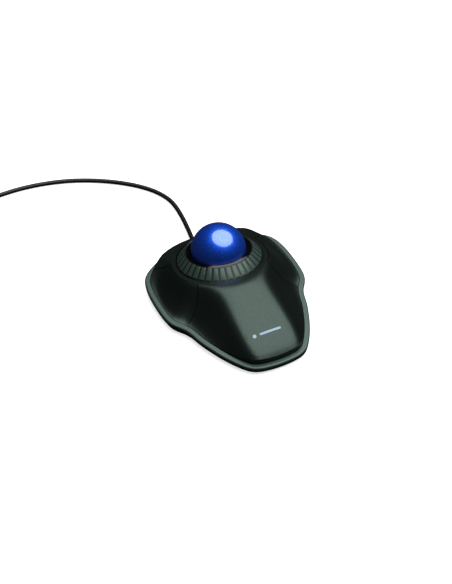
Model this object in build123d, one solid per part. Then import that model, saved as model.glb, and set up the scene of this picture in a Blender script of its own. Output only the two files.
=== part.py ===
"""Optical trackball mouse with a scroll ring round the ball.

Millimetres, +Z up, +Y away from the user (where the cord leaves), +X to the right.
The origin is under the middle of the body, on the surface it stands on.
"""
from math import atan2, cos, degrees, exp, hypot, log1p, pi, radians, sin, sqrt, tan
import os

import numpy

from build123d import *

# ---------------------------------------------------------------- driving dimensions
body_width = 111.8
body_depth = 135.4
skin = 2.2               # vertical thickness of the cover and of the buttons
seam_gap = 0.45          # open seam round each button
rim_height = 9.0         # inner top edge of the rim band at mid depth
rim_slope = 0.032        # the rim band rises towards the back
rim_width = 3.7
rim_band = 2.1           # height of the rim band
edge_depth = 4.0         # height of the rim band with the dark lip of the tray under it
lip_inset = 0.3          # the tray's lip stands in a little under the rim band
rim_groove = 0.4         # shadow gap between the rim band and the cover
rim_rounding = 1.1

ball_radius = 20.0
ball_height = 29.8       # centre of the ball above the desk
ball_to_back = 36.5      # centre of the ball to the back of the body
ball_gap = 0.4           # ball to cup

ring_tilt = 10.9         # degrees, the ring leans away from the user
ring_inner = 24.3
ring_outer = 31.0
ring_top = 0.65          # inner edge of the ring, above the ball's centre
ring_drop = 7.15         # from the inner top edge down to the outer edge
ring_ribs = 36
ring_gap = 0.5           # ring to cover
running = 0.08           # radial clearance of turning fits
contact_gap = 0.03       # pieces that just touch and have to move

bezel_width = 4.0        # flat collar of the cover round the ring
palm_crown = 20.0        # half width of the nearly flat palm spine
palm_edge_softness = 3.2

press_angle = 0.9        # degrees a button turns when it is pressed
pin_radius = 1.0
foot_height = 0.8
tray_floor = 1.8
tray_tuck = 2.5          # how far the tray stands in under the rim band
tray_wall = 3.0
skirt = 1.8              # side wall of the cover

cord_diameter = 3.5
cord_exit_height = 4.3
tie_thickness = 0.8

# ---------------------------------------------------------------- derived places
half_width = body_width / 2
half_depth = body_depth / 2
ball_y = half_depth - ball_to_back
ball_centre = Vector(0, ball_y, ball_height)
ring_normal = Vector(0, sin(radians(ring_tilt)), cos(radians(ring_tilt)))
ring_place = Location(Plane(origin=ball_centre, x_dir=(1, 0, 0), z_dir=ring_normal))
ring_edge = ring_top - ring_drop
cover_inset = rim_width + rim_groove
floor_top = foot_height + tray_floor
tray_inner = tray_tuck + tray_wall
rim_plane = Plane(origin=(0, 0, rim_height), x_dir=(1, 0, 0), z_dir=(0, -rim_slope, 1))
far = 400.0

# Right half of the plan outline, from the back round to the front, as shares of the half sizes.
outline_shares = [
    (0.000, 1.000), (0.200, 0.995), (0.399, 0.963), (0.587, 0.901), (0.760, 0.815), (0.911, 0.703),
    (0.980, 0.539), (0.998, 0.371), (0.998, 0.219), (0.987, 0.080), (0.943, -0.049), (0.850, -0.161),
    (0.798, -0.263), (0.762, -0.369), (0.712, -0.477), (0.653, -0.589), (0.580, -0.708), (0.485, -0.833),
    (0.354, -0.947), (0.181, -0.990), (0.000, -1.000),
]
waist_share = outline_shares[11]
corner_share = outline_shares[17]

right_side = [(half_width * x, half_depth * y) for x, y in outline_shares]
left_side = [(-x, y) for x, y in right_side[-2:0:-1]]
outline_curve = Spline(*right_side, *left_side, periodic=True)


def outline_points(inset):
    """Points of the plan outline moved inwards by inset."""
    points = []
    for step in range(72):
        place = outline_curve @ (step / 72)
        along = outline_curve % (step / 72)
        points.append(Vector(place.X + along.Y * inset, place.Y - along.X * inset))
    return points


def outline_prism(inset):
    """Upright prism over the plan outline, moved inwards by inset."""
    if inset == 0:
        face = make_face(outline_curve)
    else:
        face = make_face(Spline(*outline_points(inset), periodic=True))
    return extrude(Pos(0, 0, -10) * face, amount=80)


def slab(low, high):
    """Everything between two heights measured from the sloping rim plane."""
    return rim_plane.location * Pos(0, 0, (low + high) / 2) * Box(far, far, high - low)


def turned(*profile):
    """Solid of revolution round +Z from (radius, height) corners."""
    return revolve(make_face(Polyline(*[(r, 0, h) for r, h in profile], close=True)), Axis.Z)


def block(x, y, z):
    """Upright box from three (low, high) pairs."""
    size = Box(x[1] - x[0], y[1] - y[0], z[1] - z[0])
    return Pos((x[0] + x[1]) / 2, (y[0] + y[1]) / 2, (z[0] + z[1]) / 2) * size


def rod(place, radius, length):
    """Cylinder that starts at place and runs up +Z."""
    return Pos(*place) * Cylinder(radius, length, align=(Align.CENTER, Align.CENTER, Align.MIN))


# ---------------------------------------------------------------- the top surface as a formula
def soft_ramp(value, softness):
    """Zero below 0 and value above it, with a rounded corner."""
    return softness * log1p(exp(-abs(value) / softness)) + max(value, 0)


def rim_level(y):
    return rim_height + rim_slope * y


def ring_level(y):
    """Height of the plane of the ring's outer edge."""
    centre = ball_centre + ring_normal * ring_edge
    return centre.Z - (y - centre.Y) * tan(radians(ring_tilt))


ring_centre_y = (ball_centre + ring_normal * ring_edge).Y
bezel_radius = ring_outer + bezel_width
palm_front = -(half_depth - cover_inset)
palm_back = ring_centre_y - bezel_radius
bezel_fall = 4.0          # least plan width over which the shoulder falls to the rim
shoulder_flare = 1.5      # above 1 the shoulders flare out into the rim
palm_corner_flare = 0.7   # below 1 the front corners of the palm are full and round
palm_overrun = 1.5        # the palm's slopes end this far outside the cover's edge
brow_softness = 3.6       # how softly the palm rolls over into the collar round the ring
cap_lift = 1.0
shoulder_lift = 1.5
surface_steps = 64

cover_edge = [(atan2(p.Y - ring_centre_y, p.X), hypot(p.X, p.Y - ring_centre_y))
              for p in outline_points(cover_inset)]
cover_edge.sort()
edge_angles = [angle for angle, _ in cover_edge]
edge_radii = [radius for _, radius in cover_edge]


def palm_half_width(y):
    """The palm's sides follow a parabola from the front corner to the waist."""
    corner_x = half_width * corner_share[0] - cover_inset + palm_overrun
    waist_x = half_width * waist_share[0] - cover_inset + palm_overrun
    share = (y / half_depth - corner_share[1]) / (waist_share[1] - corner_share[1])
    return sqrt(corner_x ** 2 + max(share, -0.4) * (waist_x ** 2 - corner_x ** 2))


def palm_rise(x, y):
    """Height of the palm above the rim plane: a spine that rises from the front like a parabola."""
    length = palm_back - palm_front + palm_overrun
    along = soft_ramp((y - palm_front + palm_overrun) / length, 0.02)
    crest = (ring_level(palm_back) - rim_level(palm_front)) * sqrt(along)
    crest -= rim_slope * (y - palm_front)
    beyond = soft_ramp(abs(x) - palm_crown, palm_edge_softness)
    reach = soft_ramp(palm_half_width(y) - palm_crown, palm_edge_softness)
    flare = palm_corner_flare + (shoulder_flare - palm_corner_flare) * reach / palm_crown
    crown = 1 - 0.05 * (x / palm_crown) ** 2 / (1 + (x / palm_crown) ** 2)
    side = soft_ramp(1 - beyond / reach, 0.04) ** flare
    return soft_ramp(crest, 0.3) * crown * side


def shoulder_rise(x, y):
    """Height of the shoulders round the ring above the rim plane."""
    angle = atan2(y - ring_centre_y, x)
    outer = numpy.interp(angle, edge_angles, edge_radii, period=2 * pi)
    outer = max(outer, bezel_radius + bezel_fall)
    share = (hypot(x, y - ring_centre_y) - bezel_radius) / (outer - bezel_radius)
    fall = 1 - soft_ramp(share, 0.03)
    return (ring_level(y) - rim_level(y) + shoulder_lift) * soft_ramp(fall, 0.04) ** shoulder_flare


def top_height(x, y):
    """Height of the outside of the cover and buttons above the desk."""
    merge = 6
    rise = (palm_rise(x, y) ** merge + shoulder_rise(x, y) ** merge) ** (1 / merge)
    cap = ring_level(y) - rim_level(y) + cap_lift
    capped = (rise + cap - hypot(rise - cap, brow_softness)) / 2
    return rim_level(y) + capped


def surface_grid():
    rows = []
    for i in range(surface_steps + 1):
        x = (half_width + 3) * (2 * i / surface_steps - 1)
        columns = [(half_depth + 3) * (2 * j / surface_steps - 1) for j in range(surface_steps + 1)]
        rows.append([(x, y, top_height(x, y)) for y in columns])
    return rows


top_surface = Face.make_surface_from_array_of_points(
    surface_grid(), tol=0.01, min_deg=3, max_deg=8, smoothing=(1, 1, 1))


def under_top(drop):
    """Everything below the top surface, lowered by drop."""
    return extrude(Pos(0, 0, -drop) * top_surface, amount=80, dir=(0, 0, -1))


# ---------------------------------------------------------------- shell of the cover and buttons
cover_mass = outline_prism(cover_inset) & slab(-edge_depth, far / 8)
hollow_mass = outline_prism(cover_inset + skirt) & slab(-far / 8, far / 8)
below_top = under_top(0)
below_skin = under_top(skin)
shell = (cover_mass & below_top) - (hollow_mass & below_skin)

# ---------------------------------------------------------------- button outlines in plan
seam_radius = 35.0
seam_rear = radians(161.6)     # where the rear seam meets the seam round the bezel
seam_front = radians(219.2)    # where the short slit leaves it
slit_end = (-30.0, ball_y - 29.7)
notch = (-half_width * waist_share[0], half_depth * waist_share[1])


def round_ring(radius, angle):
    return (radius * cos(angle), ring_centre_y + radius * sin(angle))


def button_region(gap):
    """Plan shape of the left button, smaller than its opening by gap."""
    radius = seam_radius + gap
    rear = round_ring(radius, seam_rear + gap / radius)
    middle = round_ring(radius, (seam_rear + seam_front) / 2)
    front = round_ring(radius, seam_front - gap / radius)
    slit = Vector(*slit_end)
    waist = Vector(*notch)
    along = (waist - slit).normalized()
    aside = Vector(along.Y, -along.X) * gap
    bend = (slit + waist) / 2 + Vector(0, -2)
    front_out = waist + Vector(-16, -5)
    rear_out = Vector(*rear) + Vector(-31, 24)
    edges = ThreePointArc(rear, middle, front)
    edges += Line(front, slit + aside)
    edges += Spline(slit + aside, bend + aside, waist + aside, front_out + aside)
    corners = [front_out + aside, (-far / 4, front_out.Y), (-far / 4, rear_out.Y), rear_out, rear]
    edges += Polyline(*corners)
    return extrude(Pos(0, 0, -10) * make_face(edges), amount=80)


# ---------------------------------------------------------------- hinge, switch and screw places
pin_place = Vector(-38.5, ball_y + 8.8, 8.6)
lug_half = 2.2
lug_radius = 2.4
ear_thickness = 1.7
ear_gap = 0.3
board_bottom = 4.6
board_thickness = 1.6
board_top = board_bottom + board_thickness
switch_place = Vector(-35.0, ball_y - 22.4, board_top)
switch_size = (5.8, 12.8, 6.5)
plunger_rise = 0.9
plunger_top = board_top + switch_size[2] + plunger_rise
case_screw_places = [(-22, -half_depth + 23.7), (22, -half_depth + 23.7), (-34.5, ball_y + 17.3), (34.5, ball_y + 17.3)]
screw_radius = 1.25
screw_head_radius = 2.5
screw_head_height = 1.0
boss_radius = 3.1
pad_height = 1.0
board_screw_places = [(-22, -30), (22, -30), (0, -44)]
board_screw_radius = 1.0


mark_y = -half_depth + 20
mark_depth = 0.4
mark_dot_radius = 1.3
mark_bar = (16.0, 1.5)


def mark_prism():
    """Upright prism over the palm mark: a dot and a bar."""
    dot = Pos(-11, mark_y) * Circle(mark_dot_radius)
    bar = Pos(1, mark_y) * RectangleRounded(mark_bar[0], mark_bar[1], 0.6)
    return extrude(dot, amount=60) + extrude(bar, amount=60)


def left_button_solid():
    region = button_region(seam_gap)
    panel = (shell & region) & slab(-edge_depth / 2, far / 8)
    lug_x = (pin_place.X - lug_half, pin_place.X + lug_half)
    lug_y = (pin_place.Y - lug_radius, pin_place.Y + lug_radius)
    lug = block(lug_x, lug_y, (pin_place.Z, 40)) & under_top(skin / 2)
    lug += Pos(*pin_place) * Rot(0, 90, 0) * Cylinder(lug_radius, 2 * lug_half)
    post = rod((switch_place.X, switch_place.Y, plunger_top + contact_gap), 1.5, 40) & under_top(skin / 2)
    bore = Pos(*pin_place) * Rot(0, 90, 0) * Cylinder(pin_radius + running, 30)
    return panel + lug + post - bore


def top_cover_solid():
    opening = button_region(0)
    cover = shell - opening - mirror(opening, Plane.YZ)
    cover -= ring_place * Cylinder(ring_outer + ring_gap, far)
    for x, y in case_screw_places:
        cover += rod((x, y, floor_top + pad_height), boss_radius, 40) & under_top(skin / 2)
    for x, y in case_screw_places:
        cover -= rod((x, y, floor_top), screw_radius + contact_gap, 7)
    return cover - (mark_prism() - under_top(mark_depth))


# ---------------------------------------------------------------- rim band and base tray
def rim_band_solid():
    band = outline_prism(0) & slab(-rim_band, 0)
    top_face = band.faces().sort_by(Axis.Z)[-1]
    band = fillet(top_face.edges(), rim_rounding)
    return band - outline_prism(rim_width)


def standoff(x, y, radius, top, hole):
    """Upright post on the tray's floor with a screw hole."""
    post = rod((x, y, floor_top), radius, top - floor_top)
    return post - rod((x, y, floor_top), hole, far)


def hinge_ears():
    """Two ears that hold the left button's pin."""
    inner = lug_half + ear_gap
    ears = []
    for low in (pin_place.X - inner - ear_thickness, pin_place.X + inner):
        plate = block((low, low + ear_thickness), (pin_place.Y - 2.2, pin_place.Y + 2.2), (floor_top, pin_place.Z))
        middle = Pos(low + ear_thickness / 2, pin_place.Y, pin_place.Z)
        ears.append(plate + middle * Rot(0, 90, 0) * Cylinder(2.2, ear_thickness))
    bore = Pos(*pin_place) * Rot(0, 90, 0) * Cylinder(pin_radius + contact_gap / 3, 20)
    return [ear - bore for ear in ears]


cup_post_angles = (35, 145, 215, 325)
cup_wall = 22.6
cup_skin = 1.6
cup_top = -1.3
flange_top = -12.7
flange_bottom = -14.2
flange_radius = 30.3
cup_post_radius = 2.6
relief_radius = 2.3


def cup_posts():
    """Posts from the tray's floor to the sloping flange of the ball cup."""
    below_flange = ring_place * Pos(0, 0, flange_bottom - far / 2) * Box(far, far, far)
    posts = []
    for angle in cup_post_angles:
        foot = ring_place * Pos(27 * cos(radians(angle)), 27 * sin(radians(angle)), flange_bottom)
        post = rod((foot.position.X, foot.position.Y, floor_top), cup_post_radius, 40)
        posts.append(post & below_flange)
    return posts


def base_tray_solid():
    upper = slab(-far / 8, -edge_depth)
    tray = outline_prism(tray_tuck) & upper & block((-far, far), (-far, far), (foot_height, far))
    hollow = outline_prism(tray_inner) & block((-far, far), (-far, far), (floor_top, far))
    tray -= hollow
    lip = outline_prism(lip_inset) & slab(-edge_depth, -rim_band)
    tray += lip - outline_prism(cover_inset - rim_groove / 2)
    for x, y in case_screw_places:
        tray += rod((x, y, floor_top), 3.8, pad_height)
    for ear in hinge_ears():
        tray += ear
        tray += mirror(ear, Plane.YZ)
    for post in cup_posts():
        tray += post
    for x, y in board_screw_places:
        tray += standoff(x, y, 2.6, board_bottom, board_screw_radius + contact_gap)
    for x, y in case_screw_places:
        tray -= rod((x, y, 0), screw_radius + 0.25, 8)
        tray -= rod((x, y, 0), screw_head_radius + 0.3, foot_height + screw_head_height)
    exit_hole = Pos(0, half_depth, cord_exit_height) * Rot(90, 0, 0) * Cylinder(relief_radius + contact_gap, 20)
    return tray - exit_hole


# ---------------------------------------------------------------- scroll ring and its bearing
carrier_bore = cup_wall + running
grip_bore = ring_inner - 0.7
carrier_tube = 24.2
carrier_bottom = -12.0
carrier_step = -8.8
grip_lip = 1.1
groove_width = 0.9
groove_depth = 0.75


def ring_grip_solid():
    """Sloping ribbed ring: one raised rib for each groove cut across its face."""
    inner_foot = ring_outer - 1.4
    ring = turned((grip_bore, ring_top - 0.4), (ring_inner, ring_top), (ring_outer, ring_edge),
                  (ring_outer, ring_edge - grip_lip), (inner_foot, ring_edge - grip_lip), (grip_bore, -1.2))
    length = hypot(ring_drop, ring_outer - ring_inner)
    middle = ((ring_inner + ring_outer) / 2, (ring_top + ring_edge) / 2)
    lean = -degrees(atan2(ring_outer - ring_inner, ring_drop))
    groove = Pos(middle[0], 0, middle[1]) * Rot(0, lean, 0) * Box(2 * groove_depth, groove_width, length)
    angle = 360 / ring_ribs
    for step in range(ring_ribs):
        ring -= Rot(0, 0, angle * step) * groove
    return ring_place * ring


def ring_carrier_solid():
    inner_foot = ring_outer - 1.4
    flange = ring_edge - grip_lip
    share = (cup_top - 0.3 + 1.2) / (flange + 1.2)
    top_radius = grip_bore + share * (inner_foot - grip_bore)
    return ring_place * turned((carrier_bore, cup_top - 0.3), (top_radius, cup_top - 0.3), (inner_foot, flange),
                               (inner_foot, carrier_step), (carrier_tube, carrier_step),
                               (carrier_tube, carrier_bottom), (carrier_bore, carrier_bottom))


encoder_radii = (27.4, 28.4)
encoder_slots = 40


def ring_encoder_solid():
    """Slotted skirt under the ring that chops the light of the photo interrupter."""
    bottom = carrier_bottom - 0.1
    height = carrier_step - bottom
    wheel = turned((encoder_radii[0], bottom), (encoder_radii[1], bottom),
                   (encoder_radii[1], carrier_step), (encoder_radii[0], carrier_step))
    slot = Pos(sum(encoder_radii) / 2, 0, bottom + height / 2 - 0.6) * Box(3, 1.8, height - 1.2)
    for step in range(encoder_slots):
        wheel -= Rot(0, 0, 360 / encoder_slots * step) * slot
    return ring_place * wheel


def ring_guide_solid():
    """Low friction washer between the ring carrier and the flange of the ball cup."""
    return ring_place * turned((carrier_bore, flange_top), (24.4, flange_top),
                               (24.4, carrier_bottom - running), (carrier_bore, carrier_bottom - running))


sensor_angle = 35.0
sensor_out = Vector(0, -sin(radians(sensor_angle)), -cos(radians(sensor_angle)))
sensor_place = Location(Plane(origin=ball_centre, x_dir=(1, 0, 0), z_dir=sensor_out))
interrupter_depth = (-9.8, -16.0)


def bearing_places():
    """Three support balls, below the equator of the big ball."""
    radius = ball_radius + contact_gap + 1.25
    places = []
    for angle in (90, 210, 330):
        flat = radius * cos(radians(35))
        places.append(Pos(flat * cos(radians(angle)), ball_y + flat * sin(radians(angle)),
                          ball_height - radius * sin(radians(35))))
    return places


def support_bearings_solids():
    return [place * Sphere(1.25) for place in bearing_places()]


def ball_cup_solid():
    outer = ball_radius + ball_gap + cup_skin
    wall = turned((0, -14), (cup_wall, flange_top - 0.5), (cup_wall, cup_top), (0, cup_top))
    flange = turned((0, flange_bottom), (flange_radius, flange_bottom), (flange_radius, flange_top), (0, flange_top))
    window = Pos(0, -28, flange_top) * Box(9.4, 9, 8)
    cup = ring_place * (wall + flange - window) + Pos(*ball_centre) * (Sphere(outer) & Pos(0, 0, -30) * Box(60, 60, 40))
    cup -= Pos(*ball_centre) * Sphere(ball_radius + ball_gap)
    cup -= rod((0, ball_y, 0), 3, ball_height)
    cup -= sensor_place * rod((0, 0, 10), 3, 20)
    for place in bearing_places():
        cup -= place * Sphere(1.25 + contact_gap)
    return cup


def ball_collar_solid():
    """Glossy ring between the ball and the scroll ring."""
    bore = ball_radius + ball_gap
    outer = grip_bore - 0.3
    collar = turned((bore, cup_top), (bore, 0.1), (bore + 0.9, 0.55), (outer - 0.9, 0.2), (outer, -0.3), (outer, cup_top))
    return ring_place * collar - Pos(*ball_centre) * Sphere(bore)


# ---------------------------------------------------------------- ball
core_radius = 12.0


def ball_shell_solid():
    return Pos(*ball_centre) * (Sphere(ball_radius) - Sphere(core_radius + running))


def ball_core_solid():
    return Pos(*ball_centre) * Sphere(core_radius)


# ---------------------------------------------------------------- electronics
def main_board_solid():
    outline = [(-22.5, -46), (22.5, -46), (30, -8), (41, ball_y - 32), (41, ball_y - 15), (29, ball_y - 15),
               (26, 5), (-26, 5), (-29, ball_y - 15), (-41, ball_y - 15), (-41, ball_y - 32), (-30, -8)]
    board = extrude(make_face(Polyline(*outline, close=True)), amount=board_thickness)
    board = Pos(0, 0, board_bottom) * board
    for x, y in board_screw_places:
        board -= rod((x, y, 0), board_screw_radius + 0.2, far)
    for x, y in case_screw_places:
        board -= rod((x, y, 0), boss_radius + 0.4, far)
    return board


def switch_body_solid():
    x, y, z = switch_place
    half = (switch_size[0] / 2, switch_size[1] / 2)
    body = block((x - half[0], x + half[0]), (y - half[1], y + half[1]), (z, z + switch_size[2]))
    return body - rod((x, y, z + switch_size[2] - 2.5), 1.3 + running, far)


def switch_plunger_solid():
    x, y, z = switch_place
    return rod((x, y, z + switch_size[2] - 1.6), 1.3, 1.6 + plunger_rise)


def ring_interrupter_solid():
    """U-shaped light gate that stands astride the slotted skirt."""
    top, bottom = interrupter_depth
    gate = block((-4, 4), (-31.2, -25.0), (bottom, top))
    gate -= block((-5, 5), (-29.4, -26.6), (carrier_bottom - 1.2, 0))
    return ring_place * gate


def ring_sensor_board_solid():
    below = ring_place * Pos(0, 0, interrupter_depth[1] - far / 2) * Box(far, far, far)
    foot = ring_place * Pos(0, -28, interrupter_depth[1])
    y = foot.position.Y
    return block((-5.5, 5.5), (y - 0.8, y + 0.8), (board_top, 40)) & below


def sensor_lens_solid():
    lens = rod((0, 0, 22.6), 3.6, 1.9) + rod((0, 0, 21.4), 2.6, 2)
    return sensor_place * lens


def optical_sensor_solid():
    return sensor_place * block((-4, 4), (-3.5, 3.5), (24.6, 26.8))


def sensor_led_solid():
    return sensor_place * block((5.2, 7.2), (-1.5, 1.5), (24.8, 26.8))


def sensor_board_solid():
    return sensor_place * block((-8, 8), (-6.2, 6.2), (26.8, 28.0))


def controller_chip_solid():
    return block((-5, 5), (-31, -21), (board_top, board_top + 1.2))


def board_components_solids():
    """Small parts on the main board: rows of chip resistors, two capacitors and a crystal."""
    solids = []
    for step in range(6):
        x = -15 + 6 * step
        solids.append(block((x - 0.6, x + 0.6), (-18.4, -16.4), (board_top, board_top + 0.6)))
    for x in (-14, 14):
        solids.append(rod((x, -36, board_top), 2.0, 5.0))
    solids.append(block((9, 14), (-28, -24.5), (board_top, board_top + 1.4)))
    return solids


def cable_connector_solid():
    return block((-20, -10), (-4, 1), (board_top, board_top + 4.5))


# ---------------------------------------------------------------- cord
def rounded_path(points, label):
    """Straight runs joined by arcs as large as both runs allow."""
    corners = [Vector(*point) for point in points]
    radii = []
    for before, corner, after in zip(corners, corners[1:], corners[2:]):
        turn = (corner - before).get_angle(after - corner)
        shorter = min((corner - before).length, (after - corner).length)
        radii.append(0.45 * shorter / tan(radians(turn / 2)))
    print(label, "radii", [round(radius, 1) for radius in radii])
    return FilletPolyline(*corners, radius=radii)


def tube(points, diameter, label):
    path = rounded_path(points, label)
    start = Plane(origin=path @ 0, z_dir=path % 0)
    solid = sweep(start * Circle(diameter / 2), path=path)
    print(label, "volume", round(solid.volume, 1), "of", round(pi * diameter ** 2 / 4 * path.length, 1))
    return solid


relief_end = half_depth + 3.8
cord_rest = cord_diameter / 2 + 0.05
cord_route = [
    (0, relief_end, cord_exit_height), (0, relief_end + 6.5, cord_exit_height), (2.6, 88.5, 2.3), (5.7, 112, cord_rest),
    (5.0, 131, cord_rest), (-6, 151, cord_rest), (-29, 171, cord_rest), (-58, 186, cord_rest),
    (-91, 193, cord_rest), (-122, 191.5, cord_rest), (-146, 189.4, cord_rest),
]
coil_turns_wide = 3
coil_turns_high = 4
coil_radius = 19.2
coil_base = tie_thickness
coil_centre = (-148.0, 212.0)
coil_half_width = coil_turns_wide * cord_diameter / 2
coil_height = coil_turns_high * cord_diameter
tail_x = coil_centre[0] - coil_radius - coil_half_width + cord_diameter / 2
plug_axis = 4.1
plug_start = (-141.5, 251.0)
tail_route = [
    (tail_x, 219, 4.6), (tail_x, 232, 4.4), (-163.5, 245.5, 4.2), (-151, plug_start[1], plug_axis),
    (plug_start[0], plug_start[1], plug_axis),
]


def cord_coil_solid():
    low = coil_base
    high = coil_base + coil_height
    inner = coil_radius - coil_half_width
    outer = coil_radius + coil_half_width
    ring = turned((inner, low), (outer, low), (outer, high), (inner, high))
    ring = fillet(ring.edges(), cord_diameter / 2.2)
    return Pos(coil_centre[0], coil_centre[1], 0) * ring


def cable_tie_solid():
    """Flat tie round the bundle with its twisted tail."""
    inner = coil_radius - coil_half_width - 0.3
    outer = coil_radius + coil_half_width + 0.1
    loop = block((inner - tie_thickness, outer + tie_thickness), (-2, 2), (0, coil_base + coil_height + 0.9))
    loop -= block((inner, outer), (-3, 3), (coil_base - 0.02, coil_base + coil_height + 0.1))
    knot = block((outer + tie_thickness, outer + tie_thickness + 2.4), (-2, 2), (5, 9))
    return Pos(coil_centre[0], coil_centre[1], 0) * Rot(0, 0, 40) * (loop + knot)


def strain_relief_solid():
    sleeve = revolve(make_face(Polyline((0, 0, 0), (relief_radius, 0, 0), (relief_radius, 0, 6.5), (2.0, 0, 12.6),
                                        (0, 0, 12.6), close=True)), Axis.Z)
    place = Plane(origin=(0, relief_end - 12.6, cord_exit_height), x_dir=(1, 0, 0), z_dir=(0, 1, 0))
    inside = half_depth - tray_inner - 0.1
    flange = block((-3.6, 3.6), (inside - 1.4, inside), (floor_top + 0.05, 6.8))
    sleeve = place.location * sleeve
    return sleeve + flange


def inner_leads_solid():
    start = relief_end - 12.6
    route = [(0, start, cord_exit_height), (0, start - 3.7, cord_exit_height), (-8, start - 5.7, 4.0),
             (-20, 54, 3.9), (-29, 45.5, 3.9), (-32, 35, 3.9), (-30.5, 25.5, 4.1), (-28.6, 17.5, 7.9),
             (-26, 10.5, 8.4), (-15, 5, 8.4), (-15, 1, 8.4)]
    return tube(route, 2.2, "inner leads")


def usb_plug_body_solid():
    x, y = plug_start
    body = block((x, x + 19), (y - 6.5, y + 6.5), (0, 2 * plug_axis))
    body = fillet(body.edges(), 1.2)
    return body


def usb_plug_shell_solid():
    x = plug_start[0] + 19
    y = plug_start[1]
    shell_outer = block((x, x + 12), (y - 6, y + 6), (plug_axis - 2.25, plug_axis + 2.25))
    return shell_outer - block((x + 0.4, x + 20), (y - 5.7, y + 5.7), (plug_axis - 1.95, plug_axis + 1.95))


def usb_contacts_solid():
    x = plug_start[0] + 19.4
    y = plug_start[1]
    return block((x, x + 11), (y - 5.6, y + 5.6), (plug_axis - 1.9, plug_axis - 0.1))


# ---------------------------------------------------------------- fasteners, feet and label
foot_places = [(-13, -55), (13, -55), (-41, 28), (41, 28)]


def case_screws_solids():
    solids = []
    for x, y in case_screw_places:
        head = rod((x, y, foot_height), screw_head_radius, screw_head_height)
        solids.append(head + rod((x, y, foot_height), screw_radius, 8))
    return solids


def board_screws_solids():
    solids = []
    for x, y in board_screw_places:
        head = rod((x, y, board_top), 1.9, 1.2)
        solids.append(head + rod((x, y, floor_top + 0.2), board_screw_radius, 4))
    return solids


def rubber_feet_solids():
    return [rod((x, y, 0), 4.5, foot_height) for x, y in foot_places]


def rating_label_solid():
    return block((-17, 17), (-28, -6), (foot_height - 0.15, foot_height))


def hinge_pin_solid():
    length = 2 * (lug_half + ear_gap + ear_thickness)
    return Pos(*pin_place) * Rot(0, 90, 0) * Cylinder(pin_radius, length)


# ---------------------------------------------------------------- write every piece
def write(name, solids):
    group = solids if isinstance(solids, list) else [solids]
    pieces = [piece for shape in group for piece in shape.solids()]
    export_step(Compound(children=pieces) if len(pieces) > 1 else pieces[0], f"parts/{name}.step")


os.makedirs("parts", exist_ok=True)
left_button = left_button_solid()
left_pin = hinge_pin_solid()
left_switch = switch_body_solid()
left_plunger = switch_plunger_solid()
for side, place in (("left", None), ("right", Plane.YZ)):
    for name, solid in (("button", left_button), ("button_pin", left_pin),
                        ("switch_body", left_switch), ("switch_plunger", left_plunger)):
        write(f"{side}_{name}", mirror(solid, place) if place else solid)

write("top_cover", top_cover_solid())
write("palm_mark", (mark_prism() & below_top) - under_top(mark_depth))
write("rim_band", rim_band_solid())
write("base_tray", base_tray_solid())
write("scroll_ring_grip", ring_grip_solid())
write("ring_carrier", ring_carrier_solid())
write("ring_encoder_wheel", ring_encoder_solid())
write("ring_guide", ring_guide_solid())
write("ball_cup", ball_cup_solid())
write("ball_collar", ball_collar_solid())
write("support_bearings", support_bearings_solids())
write("ball_shell", ball_shell_solid())
write("ball_core", ball_core_solid())
write("main_board", main_board_solid())
write("ring_photo_interrupter", ring_interrupter_solid())
write("ring_sensor_board", ring_sensor_board_solid())
write("sensor_lens", sensor_lens_solid())
write("optical_sensor", optical_sensor_solid())
write("sensor_led", sensor_led_solid())
write("sensor_board", sensor_board_solid())
write("controller_chip", controller_chip_solid())
write("board_components", board_components_solids())
write("cable_connector", cable_connector_solid())
write("inner_leads", inner_leads_solid())
write("strain_relief", strain_relief_solid())
write("cord", tube(cord_route, cord_diameter, "cord"))
write("cord_coil", cord_coil_solid())
write("cord_tail", tube(tail_route, cord_diameter, "cord tail"))
write("cable_tie", cable_tie_solid())
write("usb_plug_body", usb_plug_body_solid())
write("usb_plug_shell", usb_plug_shell_solid())
write("usb_contacts", usb_contacts_solid())
write("case_screws", case_screws_solids())
write("board_screws", board_screws_solids())
write("rubber_feet", rubber_feet_solids())
write("rating_label", rating_label_solid())
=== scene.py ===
# %% [markdown]
# # Trackball mouse: the looks
#
# The object is a desktop trackball: a moulded body with a rim band, a big polished ball, and a ribbed
# ring that turns round the ball. The solid frame is loaded first and never changes. This lesson gives
# each piece its finish, and builds the pieces that need finer shape than the frame holds.

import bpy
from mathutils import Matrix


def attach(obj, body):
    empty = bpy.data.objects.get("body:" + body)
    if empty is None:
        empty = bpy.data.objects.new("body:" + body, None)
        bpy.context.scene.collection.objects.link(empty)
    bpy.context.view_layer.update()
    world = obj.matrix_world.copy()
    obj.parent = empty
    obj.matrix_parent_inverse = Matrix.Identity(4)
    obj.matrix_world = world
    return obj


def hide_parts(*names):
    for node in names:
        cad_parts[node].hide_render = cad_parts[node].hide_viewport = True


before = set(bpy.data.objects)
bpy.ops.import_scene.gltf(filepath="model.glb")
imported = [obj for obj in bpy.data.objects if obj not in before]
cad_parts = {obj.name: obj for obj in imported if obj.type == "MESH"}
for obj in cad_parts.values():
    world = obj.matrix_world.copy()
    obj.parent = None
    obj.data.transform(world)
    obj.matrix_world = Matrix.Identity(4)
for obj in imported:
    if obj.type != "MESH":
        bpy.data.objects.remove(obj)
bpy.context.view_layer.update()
print("frame has", len(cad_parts), "nodes")

# %% [markdown]
# ## Tools and units
#
# Drawings are in millimetres and the scene is in metres, so every size passes through one factor.

# %% Tools used all through
import bmesh
import bpy
from math import cos, pi, radians, sin
from mathutils import Matrix, Vector

MM = 0.001
scene = bpy.context.scene


def from_mm(x, y, z):
    """A point given in millimetres, as Blender's metres."""
    return Vector((x, y, z)) * MM


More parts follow.
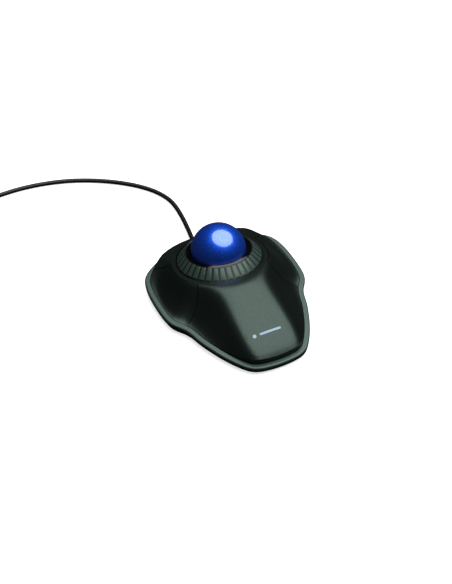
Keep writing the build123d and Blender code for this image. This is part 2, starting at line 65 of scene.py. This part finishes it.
# %% [markdown]
# ## The camera
#
# The object is looked at from its front left corner and well above it, from about a metre away with a
# short telephoto lens, so the near edge isn't swollen. A camera looks along its own -Z, so the
# direction from the object back to the camera is all that is needed to turn it.

# %% Camera
view_azimuth = radians(-26.07)
view_elevation = radians(43.90)
camera_place = from_mm(-301.66, -597.53, 659.13)
lens_length = 80.88
sensor_width = 36
towards_camera = Vector((sin(view_azimuth) * cos(view_elevation),
                         -cos(view_azimuth) * cos(view_elevation), sin(view_elevation)))
camera = bpy.data.objects.new("camera", bpy.data.cameras.new("camera"))
scene.collection.objects.link(camera)
camera.location = camera_place
camera.rotation_mode = "QUATERNION"
camera.rotation_quaternion = (-towards_camera).to_track_quat("-Z", "Y")
camera.data.lens = lens_length
camera.data.sensor_width = sensor_width
camera.data.clip_start = 0.01
camera.data.clip_end = 20
scene.camera = camera
print("camera stands", round(camera.location.length, 3), "m from the middle of the base")

# %% [markdown]
# ## Colours and nodes
#
# Colours are picked as sRGB hex values, the way a paint card gives them. Shaders work in linear light,
# so one function turns them. A second function adds a shader node with its settings and its links, and
# every material below is built with it.


# %% Colour and node helpers
def linear(hex_colour):
    """An sRGB hex colour such as 3A4442, as linear red, green, blue and alpha."""
    channels = [int(hex_colour[i:i + 2], 16) / 255 for i in (0, 2, 4)]
    curve = [c / 12.92 if c <= 0.04045 else ((c + 0.055) / 1.055) ** 2.4 for c in channels]
    return (*curve, 1.0)


def add_node(tree, kind, settings=None, **inputs):
    """Adds a node. settings are its properties, and inputs are values or sockets for its inputs."""
    node = tree.nodes.new(kind)
    for name, value in (settings or {}).items():
        setattr(node, name, value)
    for name, value in inputs.items():
        socket = node.inputs[name.replace("_", " ")]
        if isinstance(value, bpy.types.NodeSocket):
            tree.links.new(value, socket)
        else:
            socket.default_value = value
    return node


def colour_steps(tree, factor, *steps):
    """A colour ramp from (position, hex colour) steps."""
    ramp = add_node(tree, "ShaderNodeValToRGB", Fac=factor)
    elements = ramp.color_ramp.elements
    elements[0].position, elements[0].color = steps[0][0], linear(steps[0][1])
    elements[1].position, elements[1].color = steps[-1][0], linear(steps[-1][1])
    for position, colour in steps[1:-1]:
        elements.new(position).color = linear(colour)
    return ramp.outputs["Color"]


def spread(tree, value, low, high):
    """Maps a 0 to 1 pattern onto a range of numbers."""
    return add_node(tree, "ShaderNodeMapRange", Value=value, To_Min=low, To_Max=high).outputs["Result"]


def new_material(name):
    """An empty material with its shader tree and output node."""
    material = bpy.data.materials.new(name)
    material.use_nodes = True
    material.node_tree.nodes.clear()
    return material, material.node_tree


def noise(tree, size_mm, detail=2.0, roughness=0.5):
    """Cloudy pattern whose lumps are about size_mm across, fixed to the object."""
    place = add_node(tree, "ShaderNodeTexCoord").outputs["Object"]
    scale = 1 / (size_mm * MM)
    return add_node(tree, "ShaderNodeTexNoise", Vector=place, Scale=scale, Detail=detail,
                    Roughness=roughness).outputs["Fac"]


def finish_material(tree, shader):
    output = tree.nodes.new("ShaderNodeOutputMaterial")
    tree.links.new(shader.outputs["BSDF"], output.inputs["Surface"])


def give(material, *names):
    """Puts one material on CAD nodes or pieces, by name."""
    for name in names:
        slots = bpy.data.objects[name].data.materials
        slots.clear()
        slots.append(material)
    print(material.name, "on", ", ".join(names))


# %% [markdown]
# ## The cord's route
#
# The cord leaves the middle of the back, drops to the desk and runs away in one loose bend. A free cord
# is a fixed length of something springy, so it is drawn as one smooth curve through listed points.
# What is not in use is wound into a neat coil under a tie, and the plug lies beside it.

# %% Cord route
cord_diameter = 3.5
coil_centre = (-148.0, 212.0)
coil_radius = 19.2
coil_base = 0.8
coil_slots = [(1, 0), (0, 0), (-1, 0), (-1, 1), (-1, 2), (-1, 3),
              (0, 3), (1, 3), (1, 2), (0, 2), (0, 1), (1, 1)]
coil_turn_degrees = 4050
points_per_slot = 15
# The spline cuts corners between its points, so the drawn circle is this share of theirs.
corner_cut = 0.981
cord_start = (0, 71.5, 4.3)
route_out = [
    cord_start, (0, 78.0, 4.3), (2.6, 88.5, 2.3), (5.7, 112, 1.8), (5.0, 131, 1.8), (-6, 151, 1.8),
    (-29, 171, 1.8), (-58, 186, 1.8), (-91, 193, 1.8), (-122, 191.5, 1.8),
]
route_tail = [(-170.7, 232, 5.6), (-163.5, 245.5, 4.6), (-151, 251, 4.1), (-141.5, 251, 4.1)]


def coil_points():
    """Points round the coil: each slot of the bundle is one turn, then the cord steps to the next slot."""
    slot_angle = coil_turn_degrees / len(coil_slots)
    step = slot_angle / points_per_slot
    points = []
    for count in range(1, points_per_slot * len(coil_slots)):
        column, layer = coil_slots[count // points_per_slot]
        angle = radians(-90 - count * step)
        radius = (coil_radius + column * cord_diameter) / corner_cut
        height = coil_base + cord_diameter * (layer + 0.5)
        points.append((coil_centre[0] + radius * cos(angle), coil_centre[1] + radius * sin(angle), height))
    return points


def smooth_cord(name, points, diameter):
    """A round cord along one smooth spline. Each point's radius sizes it, so its bounds stay true."""
    curve = bpy.data.curves.new(name, "CURVE")
    curve.dimensions = "3D"
    curve.bevel_depth = 1.0
    curve.bevel_resolution = 5
    curve.resolution_u = 6
    curve.use_fill_caps = True
    spline = curve.splines.new("NURBS")
    spline.points.add(len(points) - 1)
    for point, place in zip(spline.points, points):
        point.co = (*from_mm(*place), 1)
        point.radius = diameter / 2 * MM
    spline.order_u = 3
    spline.use_endpoint_u = True
    piece = bpy.data.objects.new(name, curve)
    scene.collection.objects.link(piece)
    return piece


cord = smooth_cord("cord_run", route_out + coil_points() + route_tail, cord_diameter)
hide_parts("cord", "cord_coil", "cord_tail")
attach(cord, "base")
print("cord has", len(cord.data.splines[0].points), "control points")

# %% [markdown]
# ## Floor and light
#
# One big round soft box hangs overhead, a little to the right. The polished ball mirrors it as a wide
# patch, and the satin palm rest shows it as a broad band that ends where the surface rolls over. The
# floor is seen by the camera only, so it throws no light back up into the black parts.

# %% Floor, light and sky
floor_half = 6.0
floor_mesh = bmesh.new()
bmesh.ops.create_grid(floor_mesh, x_segments=1, y_segments=1, size=floor_half)
floor_data = bpy.data.meshes.new("floor")
floor_mesh.to_mesh(floor_data)
floor_mesh.free()
floor = bpy.data.objects.new("floor", floor_data)
scene.collection.objects.link(floor)
floor.visible_glossy = False
floor.visible_diffuse = False

floor_paint, tree = new_material("pale_studio_floor")
tone = colour_steps(tree, noise(tree, 300), (0.3, "FAFAFA"), (0.7, "FDFDFD"))
finish_material(tree, add_node(tree, "ShaderNodeBsdfPrincipled", Base_Color=tone, Roughness=0.9,
                               Emission_Color=linear("FFFFFF"), Emission_Strength=0.72))
floor_data.materials.append(floor_paint)

lamp = bpy.data.lights.new("overhead_soft_box", "AREA")
lamp.shape = "DISK"
lamp.size = 1.5
lamp.energy = 17
overhead = bpy.data.objects.new("overhead_soft_box", lamp)
scene.collection.objects.link(overhead)
overhead.location = (0.26, 0.0, 0.94)
overhead.rotation_mode = "QUATERNION"
overhead.rotation_quaternion = (Vector((0, 0, 0.02)) - overhead.location).to_track_quat("-Z", "Y")
print("overhead soft box power", lamp.energy, "W")

world = bpy.data.worlds.new("studio")
scene.world = world
world.use_nodes = True
tree = world.node_tree
tree.nodes.clear()
sky = add_node(tree, "ShaderNodeBackground", Color=linear("FFFFFF"), Strength=0.02)
seen = add_node(tree, "ShaderNodeBackground", Color=linear("FFFFFF"), Strength=1.0)
ray = add_node(tree, "ShaderNodeLightPath")
mix = tree.nodes.new("ShaderNodeMixShader")
tree.links.new(ray.outputs["Is Camera Ray"], mix.inputs[0])
tree.links.new(sky.outputs[0], mix.inputs[1])
tree.links.new(seen.outputs[0], mix.inputs[2])
tree.links.new(mix.outputs[0], tree.nodes.new("ShaderNodeOutputWorld").inputs["Surface"])
scene.view_settings.view_transform = "Standard"

# %% [markdown]
# ## Making a piece
#
# Every new piece is drawn in millimetres round its own centre, then turned and moved into place, so the
# finished object's origin stays at the origin of the whole scene. It rides the body that carries it.


# %% Piece helper
def make_piece(name, mesh, place, body, smooth_angle=40):
    """Turns a millimetre bmesh into an object at its place, riding a body of the frame."""
    bmesh.ops.transform(mesh, matrix=Matrix.Scale(MM, 4) @ place, verts=mesh.verts)
    bmesh.ops.recalc_face_normals(mesh, faces=mesh.faces)
    data = bpy.data.meshes.new(name)
    mesh.to_mesh(data)
    mesh.free()
    data.polygons.foreach_set("use_smooth", [True] * len(data.polygons))
    data.set_sharp_from_angle(angle=radians(smooth_angle))
    piece = bpy.data.objects.new(name, data)
    scene.collection.objects.link(piece)
    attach(piece, body)
    print(name, "has", len(data.polygons), "faces")
    return piece


ball_centre = Vector((0, 31.2, 29.8))
ball_radius = 20.0
ring_tilt = radians(10.9)
ring_place = Matrix.Translation(ball_centre) @ Matrix.Rotation(-ring_tilt, 4, "X")

# %% [markdown]
# ## The ball as a smooth sphere
#
# A mirror finish shows every flat of a mesh, so the ball is a finely divided sphere with smooth
# shading. It is the same 40 mm ball as the frame's, so it stands in for that node.

# %% Ball
mesh = bmesh.new()
bmesh.ops.create_uvsphere(mesh, u_segments=160, v_segments=96, radius=ball_radius)
ball = make_piece("ball_surface", mesh, Matrix.Translation(ball_centre), "ball_outer", 60)
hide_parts("ball_shell")

# %% [markdown]
# ## Rounded rib caps on the scroll ring
#
# A fingertip pushes the ring by its ribs, so each rib is a wedge with soft edges. One wedge is shaped
# and bevelled, and spin copies it 36 times round the ring. The wedge widens outwards because the gap
# between two ribs keeps one width.

# %% Rib caps
ring_ribs = 36
groove_half = 0.55
rib_end_gap = 0.35
rib_proud = 0.14
rib_sunk = 0.7
slope_start = Vector((24.3, 0, 0.65))
slope_end = Vector((31.0, 0, -6.5))
slope = (slope_end - slope_start).normalized()
outwards = Vector((-slope.z, 0, slope.x))
mesh = bmesh.new()
bmesh.ops.create_cube(mesh, size=2.0)
for vert in mesh.verts:
    along = rib_end_gap if vert.co.x < 0 else (slope_end - slope_start).length - rib_end_gap
    spot = slope_start + slope * along + outwards * (rib_proud if vert.co.z > 0 else -rib_sunk)
    half_width = pi * spot.x / ring_ribs - groove_half
    vert.co = (spot.x, half_width if vert.co.y > 0 else -half_width, spot.z)
bmesh.ops.bevel(mesh, geom=mesh.edges[:], offset=0.5, segments=4, profile=0.5, affect="EDGES", material=-1)
bmesh.ops.spin(mesh, geom=mesh.verts[:] + mesh.edges[:] + mesh.faces[:], cent=(0, 0, 0), axis=(0, 0, 1),
               angle=2 * pi * (ring_ribs - 1) / ring_ribs, steps=ring_ribs - 1, use_duplicate=True)
make_piece("ring_rib_caps", mesh, ring_place, "scroll_ring", 50)

# %% [markdown]
# ## Bend ribs on the strain relief
#
# Where the cord leaves the body, the moulded sleeve has ribs that spread the bend. Each is a small
# round bead, made by spinning a circle about the cord's axis.

# %% Strain relief beads
bead_radius = 0.38
bead_reach = 2.15
upright = Matrix.Rotation(pi / 2, 4, "X")
mesh = bmesh.new()
for height in (0.9, 2.0, 3.1):
    bead_place = Matrix.Translation((bead_reach, 0, height)) @ upright
    bead = bmesh.ops.create_circle(mesh, cap_ends=False, segments=12, radius=bead_radius, matrix=bead_place)
    bead_edges = list({edge for vert in bead["verts"] for edge in vert.link_edges})
    bmesh.ops.spin(mesh, geom=bead["verts"] + bead_edges, cent=(0, 0, 0), axis=(0, 0, 1), angle=2 * pi,
                   steps=40, use_merge=True)
relief_place = Matrix.Translation((0, 67.7, 4.3)) @ Matrix.Rotation(-pi / 2, 4, "X")
make_piece("strain_relief_beads", mesh, relief_place, "base", 60)

# %% [markdown]
# ## Finger grips on the plug
#
# The plug's moulded body has short ridges on top, so that it can be pulled without pulling the cord.
# Each ridge is a small bar with its edges rolled over.

# %% Plug grips
ridge_spacing = 2.2
first_ridge = (-138.0, 251.0, 8.25)
ridge_size = Matrix.Diagonal((1.0, 8.6, 0.7, 1))
mesh = bmesh.new()
for step in range(5):
    ridge = Matrix.Translation((first_ridge[0] + ridge_spacing * step, *first_ridge[1:])) @ ridge_size
    bmesh.ops.create_cube(mesh, size=1.0, matrix=ridge)
bmesh.ops.bevel(mesh, geom=mesh.edges[:], offset=0.25, segments=3, profile=0.5, affect="EDGES", material=-1)
make_piece("plug_grip_ridges", mesh, Matrix.Identity(4), "base")

# %% [markdown]
# ## Satin paint on the cover and buttons
#
# The cover and the two buttons are ABS, sprayed with a dark grey-green metallic lacquer. Fine flakes in
# the lacquer make the highlight wide and soft, and the rest of the surface stays nearly black.

# %% Satin lacquer
lacquer, tree = new_material("satin_lacquered_abs")
flakes = noise(tree, 0.35, detail=1.0)
clouds = noise(tree, 18, detail=3.0)
tone = colour_steps(tree, flakes, (0.35, "2F3935"), (0.65, "3C4843"))
gloss = spread(tree, clouds, 0.30, 0.33)
grain = add_node(tree, "ShaderNodeBump", Height=noise(tree, 0.25, detail=1.0), Strength=0.10,
                 Distance=0.00004)
finish_material(tree, add_node(tree, "ShaderNodeBsdfPrincipled", Base_Color=tone, Metallic=0.88,
                               Roughness=gloss, IOR=1.5, Normal=grain.outputs["Normal"]))
give(lacquer, "top_cover", "left_button", "right_button")

# %% [markdown]
# ## Rim band and scroll ring
#
# The rim band and the ring share a lighter grey-green, moulded with a fine spark-eroded grain. It is
# less shiny than the lacquer, and the grain shows as a faint speckle. Under the rib caps the ring body
# gets a darker copy of the same colour, painted shade for the shadow that the grooves hold.

# %% Grained ABS
# The second row is painted shade: the same plastic coloured darker to stand for the shadow in the grooves.
for name, low, high, owners in (("grained_abs", "384B44", "4A6057", ("rim_band", "ring_rib_caps")),
                                ("grained_abs_painted_groove_shade", "1A1F1D", "262C2A", ("scroll_ring_grip",))):
    grained, tree = new_material(name)
    speckle = noise(tree, 0.5, detail=3.0, roughness=0.7)
    tone = colour_steps(tree, speckle, (0.3, low), (0.7, high))
    gloss = spread(tree, noise(tree, 6), 0.32, 0.40)
    grain = add_node(tree, "ShaderNodeBump", Height=speckle, Strength=0.3, Distance=0.00008)
    finish_material(tree, add_node(tree, "ShaderNodeBsdfPrincipled", Base_Color=tone, Metallic=0.4,
                                   Roughness=gloss, IOR=1.5, Normal=grain.outputs["Normal"]))
    give(grained, *owners)

# %% [markdown]
# ## The ball's resin
#
# The ball is cast phenolic resin, ground round and polished to a mirror. Pearl flakes under the clear
# skin catch the soft box as a wide azure glow, while the skin adds the sharp pale patch.

# %% Polished resin
resin, tree = new_material("polished_phenolic_resin")
pearl = noise(tree, 1.2, detail=4.0)
tone = colour_steps(tree, pearl, (0.3, "0448FF"), (0.7, "1874FF"))
finish_material(tree, add_node(tree, "ShaderNodeBsdfPrincipled", Base_Color=tone, Metallic=0.8,
                               Roughness=0.40, IOR=1.6, Coat_Weight=1.0, Coat_Roughness=0.10,
                               Coat_IOR=2.0))
give(resin, "ball_surface", "ball_shell", "ball_core")

# %% [markdown]
# ## Speckled plastics, rubbers and boards
#
# The remaining plastics differ in three things that the eye reads: how dark they are, how wide their
# highlight is, and how coarse their mould texture is. Each row below gives those three, and the size of
# the texture comes from the real process that makes it.

# %% Other non-metals
non_metals = [
    # name, darkest, lightest, roughness from, to, texture size in mm, bump in mm, pieces
    ("polished_black_abs", "020202", "050505", 0.08, 0.14, 3.0, 0.002, ("ball_collar", "ball_cup")),
    ("textured_black_abs", "070808", "0F1010", 0.50, 0.62, 0.4, 0.08, ("base_tray", "ring_carrier")),
    ("milled_black_nylon", "0B0B0C", "151516", 0.40, 0.52, 0.8, 0.03,
     ("ring_encoder_wheel", "ring_photo_interrupter", "cable_tie")),
    ("switch_case_polyester", "121316", "1E2024", 0.35, 0.45, 0.6, 0.03,
     ("left_switch_body", "right_switch_body")),
    ("natural_acetal", "D8D8D0", "E6E6DF", 0.28, 0.40, 2.0, 0.02,
     ("ring_guide", "cable_connector", "usb_contacts", "left_switch_plunger", "right_switch_plunger")),
    ("pad_printed_ink", "93B2CC", "A6C3DA", 0.42, 0.52, 0.6, 0.01, ("palm_mark",)),
    ("flexible_cord_vinyl", "0A0A0A", "131313", 0.38, 0.50, 1.5, 0.04,
     ("cord_run", "cord", "cord_coil", "cord_tail", "strain_relief", "strain_relief_beads", "inner_leads")),
    ("moulded_plug_vinyl", "0C0C0D", "161617", 0.45, 0.58, 0.5, 0.06, ("usb_plug_body", "plug_grip_ridges")),
    ("foot_rubber", "0D0D0D", "191919", 0.75, 0.88, 0.7, 0.06, ("rubber_feet",)),
    ("sintered_ceramic", "DCDCD6", "ECECE8", 0.10, 0.16, 0.3, 0.002, ("support_bearings",)),
    ("solder_mask_green", "0B4A26", "146236", 0.22, 0.34, 1.2, 0.02,
     ("main_board", "ring_sensor_board", "sensor_board")),
    ("moulded_chip_epoxy", "101112", "1C1D1F", 0.55, 0.68, 0.25, 0.02,
     ("controller_chip", "optical_sensor", "board_components")),
    ("tinted_led_epoxy", "8E120C", "B01A12", 0.08, 0.14, 2.5, 0.005, ("sensor_led",)),
    ("blank_silver_film", "A8AAAA", "BCBEBE", 0.30, 0.42, 0.2, 0.01, ("rating_label",)),
]
for name, dark, light, gloss_low, gloss_high, texture, depth, owners in non_metals:
    plastic, tree = new_material(name)
    pattern = noise(tree, texture, detail=3.0, roughness=0.6)
    tone = colour_steps(tree, pattern, (0.3, dark), (0.7, light))
    gloss = spread(tree, noise(tree, texture * 9, detail=2.0), gloss_low, gloss_high)
    grain = add_node(tree, "ShaderNodeBump", Height=pattern, Strength=0.4, Distance=depth * MM)
    finish_material(tree, add_node(tree, "ShaderNodeBsdfPrincipled", Base_Color=tone, Roughness=gloss,
                                   IOR=1.5, Normal=grain.outputs["Normal"]))
    give(plastic, *owners)

# %% [markdown]
# ## Plated metals and the lens
#
# Nickel and zinc plating are told apart by colour: nickel is slightly warm and smooth, zinc is bluer
# and duller. Fine stretched noise stands for the marks of forming.

# %% Metals
metals = [
    ("nickel_plated_steel", "B8B4AC", "CFCBC4", 0.18, 0.30, ("usb_plug_shell",)),
    ("zinc_plated_steel", "9AA0A6", "B4BAC0", 0.26, 0.42,
     ("case_screws", "board_screws", "left_button_pin", "right_button_pin")),
]
for name, dark, light, gloss_low, gloss_high, owners in metals:
    plated, tree = new_material(name)
    place = add_node(tree, "ShaderNodeTexCoord").outputs["Object"]
    stretched = add_node(tree, "ShaderNodeMapping", Vector=place, Scale=(300, 6000, 6000)).outputs["Vector"]
    streaks = add_node(tree, "ShaderNodeTexNoise", Vector=stretched, Scale=1.0, Detail=2.0).outputs["Fac"]
    tone = colour_steps(tree, streaks, (0.3, dark), (0.7, light))
    gloss = spread(tree, streaks, gloss_low, gloss_high)
    finish_material(tree, add_node(tree, "ShaderNodeBsdfPrincipled", Base_Color=tone, Metallic=1.0,
                                   Roughness=gloss))
    give(plated, *owners)

# %% [markdown]
# ## The sensor's lens
#
# The lens is clear moulded acrylic. Nearly all light passes through it, and a faint tint shows its edge.

# %% Clear acrylic lens
acrylic, tree = new_material("clear_moulded_acrylic")
tone = colour_steps(tree, noise(tree, 4), (0.3, "EAF2F2"), (0.7, "F4FAFA"))
finish_material(tree, add_node(tree, "ShaderNodeBsdfPrincipled", Base_Color=tone, Roughness=0.04, IOR=1.49,
                               Transmission_Weight=0.9))
give(acrylic, "sensor_lens")
